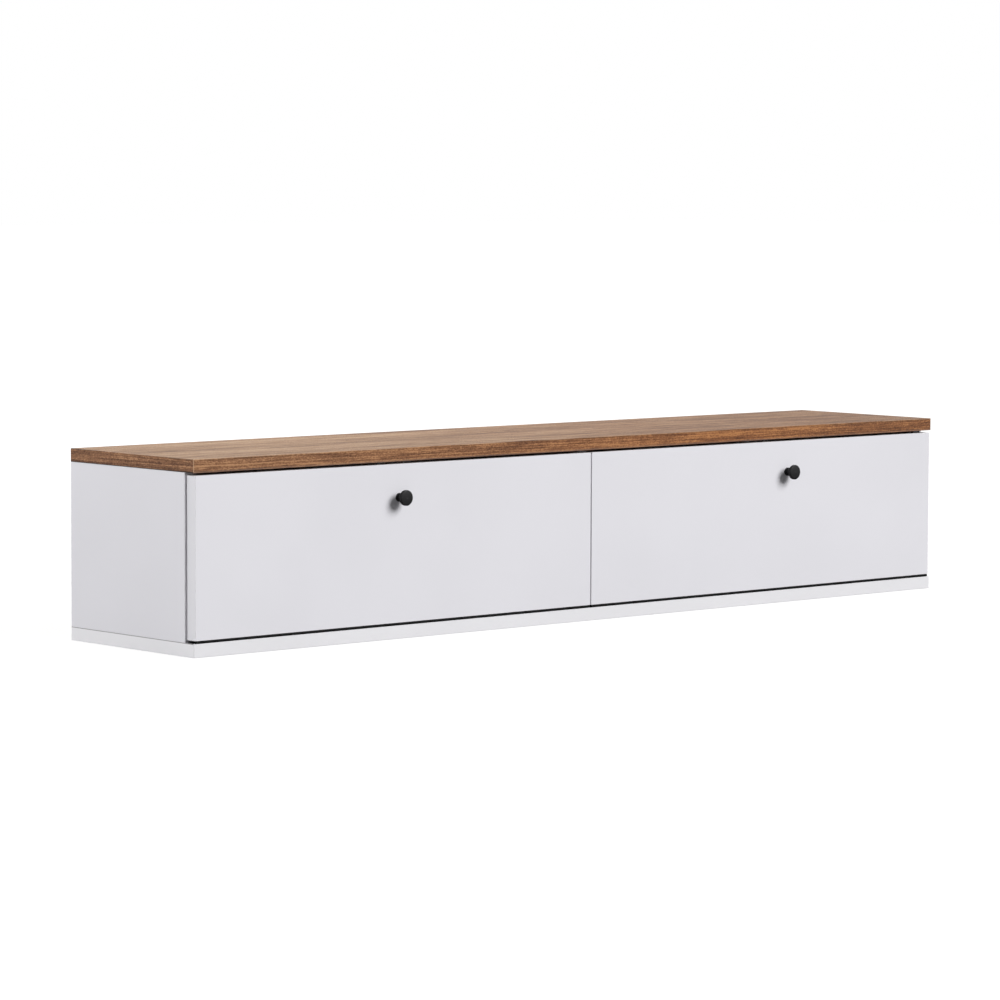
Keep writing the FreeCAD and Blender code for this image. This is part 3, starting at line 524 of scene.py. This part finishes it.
# Painted shade: a darker, duller copy of the black coat on the hinges, so that the gaps over them read
# black
SHADED_HINGE_COAT = (0.010, 0.010, 0.011)
SHADED_HINGE_COAT_SPECULAR = 0.08
COAT_CLOUD = {"scale": 160.0, "detail": 1.0}
COAT_SHADE = 0.85
COAT_GRAIN = {"scale": 2600.0}
COAT_BUMP = (0.00002, 0.5)
COAT_ROUGHNESS = (0.42, 0.58)


def coated_black(name, coat, specular):
    """Black coat with a fine grain and a faint unevenness."""
    s = Shader(name)
    cloud = s.ramp(s.pattern(**COAT_CLOUD), *FIRM)
    colour = s.mix(cloud, linear(coat, COAT_SHADE), linear(coat))
    grain = s.pattern(**COAT_GRAIN)
    s.put("Specular IOR Level", specular)
    return s.cover(colour, s.ramp(grain, *SOFT, *COAT_ROUGHNESS), s.bump(grain, *COAT_BUMP))


# Metals: dark and light tone, and least and most roughness
METALS = {
    "steel": {"dark": (0.70, 0.70, 0.71), "light": (0.80, 0.80, 0.80), "roughness": (0.25, 0.42)},
    "zinc": {"dark": (0.58, 0.58, 0.60), "light": (0.68, 0.68, 0.69), "roughness": (0.40, 0.60)},
}
METAL_CLOUD = {"scale": 120.0}
METAL_MARKS = {"scale": 900.0, "detail": 3.0, "roughness": 0.65}
METAL_BUMP = (0.00002, 0.4)


def plated_metal(name, dark, light, roughness):
    """Plated or cast metal with fine marks."""
    s = Shader(name)
    cloud = s.ramp(s.pattern(**METAL_CLOUD), *SOFT)
    colour = s.mix(cloud, linear(dark), linear(light))
    marks = s.pattern(**METAL_MARKS)
    s.put("Metallic", 1.0)
    return s.cover(colour, s.ramp(marks, *SOFT, *roughness), s.bump(marks, *METAL_BUMP))


# Moulded parts: colour, and least and most roughness
MOULDED = {
    "white_plastic": {"colour": (0.88, 0.88, 0.88), "roughness": (0.35, 0.5)},
    "black_plastic": {"colour": (0.10, 0.10, 0.105), "roughness": (0.4, 0.6)},
    "ferrite": {"colour": (0.20, 0.20, 0.21), "roughness": (0.5, 0.7)},
    "buffer_rubber": {"colour": (0.80, 0.80, 0.78), "roughness": (0.3, 0.45)},
}
MOULD_CLOUD = {"scale": 70.0, "detail": 1.0}
MOULD_SHADE = 0.94
MOULD_GRAIN = {"scale": 1100.0}
MOULD_BUMP = (0.00003, 0.5)


def moulded(name, colour, roughness):
    """Plastic, rubber or ferrite with a fine spark texture."""
    s = Shader(name)
    cloud = s.ramp(s.pattern(**MOULD_CLOUD), *SOFT)
    made = s.mix(cloud, linear(colour, MOULD_SHADE), linear(colour))
    grain = s.pattern(**MOULD_GRAIN)
    return s.cover(made, s.ramp(grain, *SOFT, *roughness), s.bump(grain, *MOULD_BUMP))


# Turned beech of the dowels
BEECH_DARK = (0.72, 0.56, 0.38)
BEECH_LIGHT = (0.84, 0.69, 0.50)
BEECH_GRAIN = {"scales": (40.0, 900.0), "detail": 3.0}
BEECH_BUMP = (0.0001, 0.5)
BEECH_ROUGHNESS = (0.6, 0.75)


def turned_beech(name):
    s = Shader(name)
    grain = s.grained(AXIS_Z, **BEECH_GRAIN)
    colour = s.mix(s.ramp(grain, *SOFT), linear(BEECH_DARK), linear(BEECH_LIGHT))
    return s.cover(colour, s.ramp(grain, *SOFT, *BEECH_ROUGHNESS), s.bump(grain, *BEECH_BUMP))


def shared_finishes():
    """The finishes that serve every node of their slot."""
    finishes = {
        "white_board": white_board("white_board"),
        "back_sheet": hardboard_back("back_sheet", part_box("left_back_panel")),
        "black_metal": coated_black("black_metal", BLACK_COAT, BLACK_COAT_SPECULAR),
        "shaded_hinge_black": coated_black("shaded_hinge_black", SHADED_HINGE_COAT, SHADED_HINGE_COAT_SPECULAR),
        "beech": turned_beech("beech"),
    }
    for slot, look in METALS.items():
        finishes[slot] = plated_metal(slot, **look)
    for slot, look in MOULDED.items():
        finishes[slot] = moulded(slot, **look)
    return finishes


def finish_for(node, slot, shared):
    """A node's own finish where the look follows its edges or its grain, and else a shared one."""
    if slot == "wood_decor":
        return wood_face("wood_decor")
    if slot == "wood_decor_band":
        return wood_band("wood_decor_" + node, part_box(node), "front" in node)
    if node == "base_front_band":
        return white_band("white_" + node, LIT_WHITE_BASE_FRONT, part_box(node))
    if slot == "white_band" and "base" in node:
        return white_band("white_" + node, LIT_WHITE_BASE_END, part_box(node), seam_shade_above=True)
    if slot == "white_band":
        return white_band("white_" + node, WHITE_BAND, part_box(node))
    # Hinges take the darker copy of the black coat, as painted shade in the gaps
    if slot == "black_metal" and "hinge" in node:
        return shared["shaded_hinge_black"]
    return shared[slot]


def finish_nodes():
    """Gives each CAD node a finish made for its slot."""
    shared = shared_finishes()
    slots = {part["node"]: part["material_slot"] for part in frame["record"]["subparts"]}
    for node, piece in frame["nodes"].items():
        material = finish_for(node, slots[node], shared)
        piece.data.materials.clear()
        piece.data.materials.append(material)


def place_camera():
    """The photograph's view: level axes from azimuth and elevation, then turned by the roll."""
    azimuth = math.radians(CAMERA_AZIMUTH)
    elevation = math.radians(CAMERA_ELEVATION)
    roll = math.radians(CAMERA_ROLL)
    level = math.cos(elevation)
    back = Vector((math.sin(azimuth) * level, -math.cos(azimuth) * level, math.sin(elevation)))
    level_right = Vector((math.cos(azimuth), math.sin(azimuth), 0.0))
    level_up = back.cross(level_right)
    right = math.cos(roll) * level_right + math.sin(roll) * level_up
    up = math.cos(roll) * level_up - math.sin(roll) * level_right
    data = bpy.data.cameras.new("camera")
    data.sensor_width = SENSOR_WIDTH_MM
    data.lens = SENSOR_WIDTH_MM * FOCAL_LENGTH_PX / PICTURE_WIDTH_PX
    data.clip_end = CAMERA_CLIP_END
    camera = bpy.data.objects.new("camera", data)
    bpy.context.scene.collection.objects.link(camera)
    turn = Matrix((right, up, back)).transposed().to_4x4()
    camera.matrix_world = Matrix.Translation(CAMERA_TARGET + back * CAMERA_DISTANCE) @ turn
    bpy.context.scene.camera = camera


def soft_light(name, direction, distance, width, power):
    """A round lamp that points at the middle of the bench."""
    data = bpy.data.lights.new(name, "AREA")
    data.shape = "DISK"
    data.size = width
    data.energy = power
    lamp = bpy.data.objects.new(name, data)
    bpy.context.scene.collection.objects.link(lamp)
    middle = (Vector(cad_box[0]) + Vector(cad_box[1])) / 2
    towards = Vector(direction).normalized()
    lamp.location = middle + towards * distance
    lamp.rotation_euler = towards.to_track_quat("Z", "Y").to_euler()


def make_world():
    """White where it is seen, directly, in a gloss or through glass, and dim as light on surfaces."""
    world = bpy.data.worlds.new("studio")
    bpy.context.scene.world = world
    world.use_nodes = True
    made = Nodes(world.node_tree)
    dim = made.tree.nodes["Background"]
    white = made.node("ShaderNodeBackground")
    for background, strength in ((dim, WORLD_STRENGTH), (white, BACKGROUND_STRENGTH)):
        made.feed(background.inputs["Color"], SOCKET_WHITE)
        made.feed(background.inputs["Strength"], strength)
    rays = made.node("ShaderNodeLightPath").outputs
    seen = made.math("MAXIMUM", rays["Is Camera Ray"], rays["Is Glossy Ray"])
    seen = made.math("MAXIMUM", seen, rays["Is Transmission Ray"])
    choose = made.node("ShaderNodeMixShader")
    for socket, value in zip(choose.inputs, (seen, dim.outputs[0], white.outputs[0])):
        made.feed(socket, value)
    made.feed(made.tree.nodes["World Output"].inputs["Surface"], choose.outputs[0])


def floor_paint(name):
    """Matt grey that glows for the camera alone: white further out, less near the bench for its shadow."""
    s = Shader(name)
    darker = linear((FLOOR_TONE - FLOOR_TONE_STEP,) * 3)
    s.put("Base Color", s.mix(s.pattern(**FLOOR_CLOUD), darker, linear((FLOOR_TONE,) * 3)))
    s.put("Roughness", FLOOR_ROUGHNESS)
    s.put("Specular IOR Level", 0.0)
    away = s.node("ShaderNodeVectorMath", operation="LENGTH")
    s.feed(away.inputs[0], s.place())
    glow = s.ramp(away.outputs["Value"], *FLOOR_GLOW_SPAN, FLOOR_GLOW, 1.0)
    rays = s.node("ShaderNodeLightPath").outputs
    s.put("Emission Color", SOCKET_WHITE)
    s.put("Emission Strength", s.math("MULTIPLY", rays["Is Camera Ray"], glow))
    return s.material


def make_floor():
    half = FLOOR_WIDTH / 2
    outline = ((-half, -half), (half, -half), (half, half), (-half, half))
    mesh = bpy.data.meshes.new("floor")
    mesh.from_pydata([(x, y, -FLOOR_DROP) for x, y in outline], [], [(0, 1, 2, 3)])
    mesh.materials.append(floor_paint("floor"))
    floor = bpy.data.objects.new("floor", mesh)
    bpy.context.scene.collection.objects.link(floor)


finish_nodes()
place_camera()
for lamp_name, lamp_settings in LAMPS.items():
    soft_light(lamp_name, **lamp_settings)
make_world()
make_floor()

view = bpy.context.scene.view_settings
view.view_transform = "Standard"
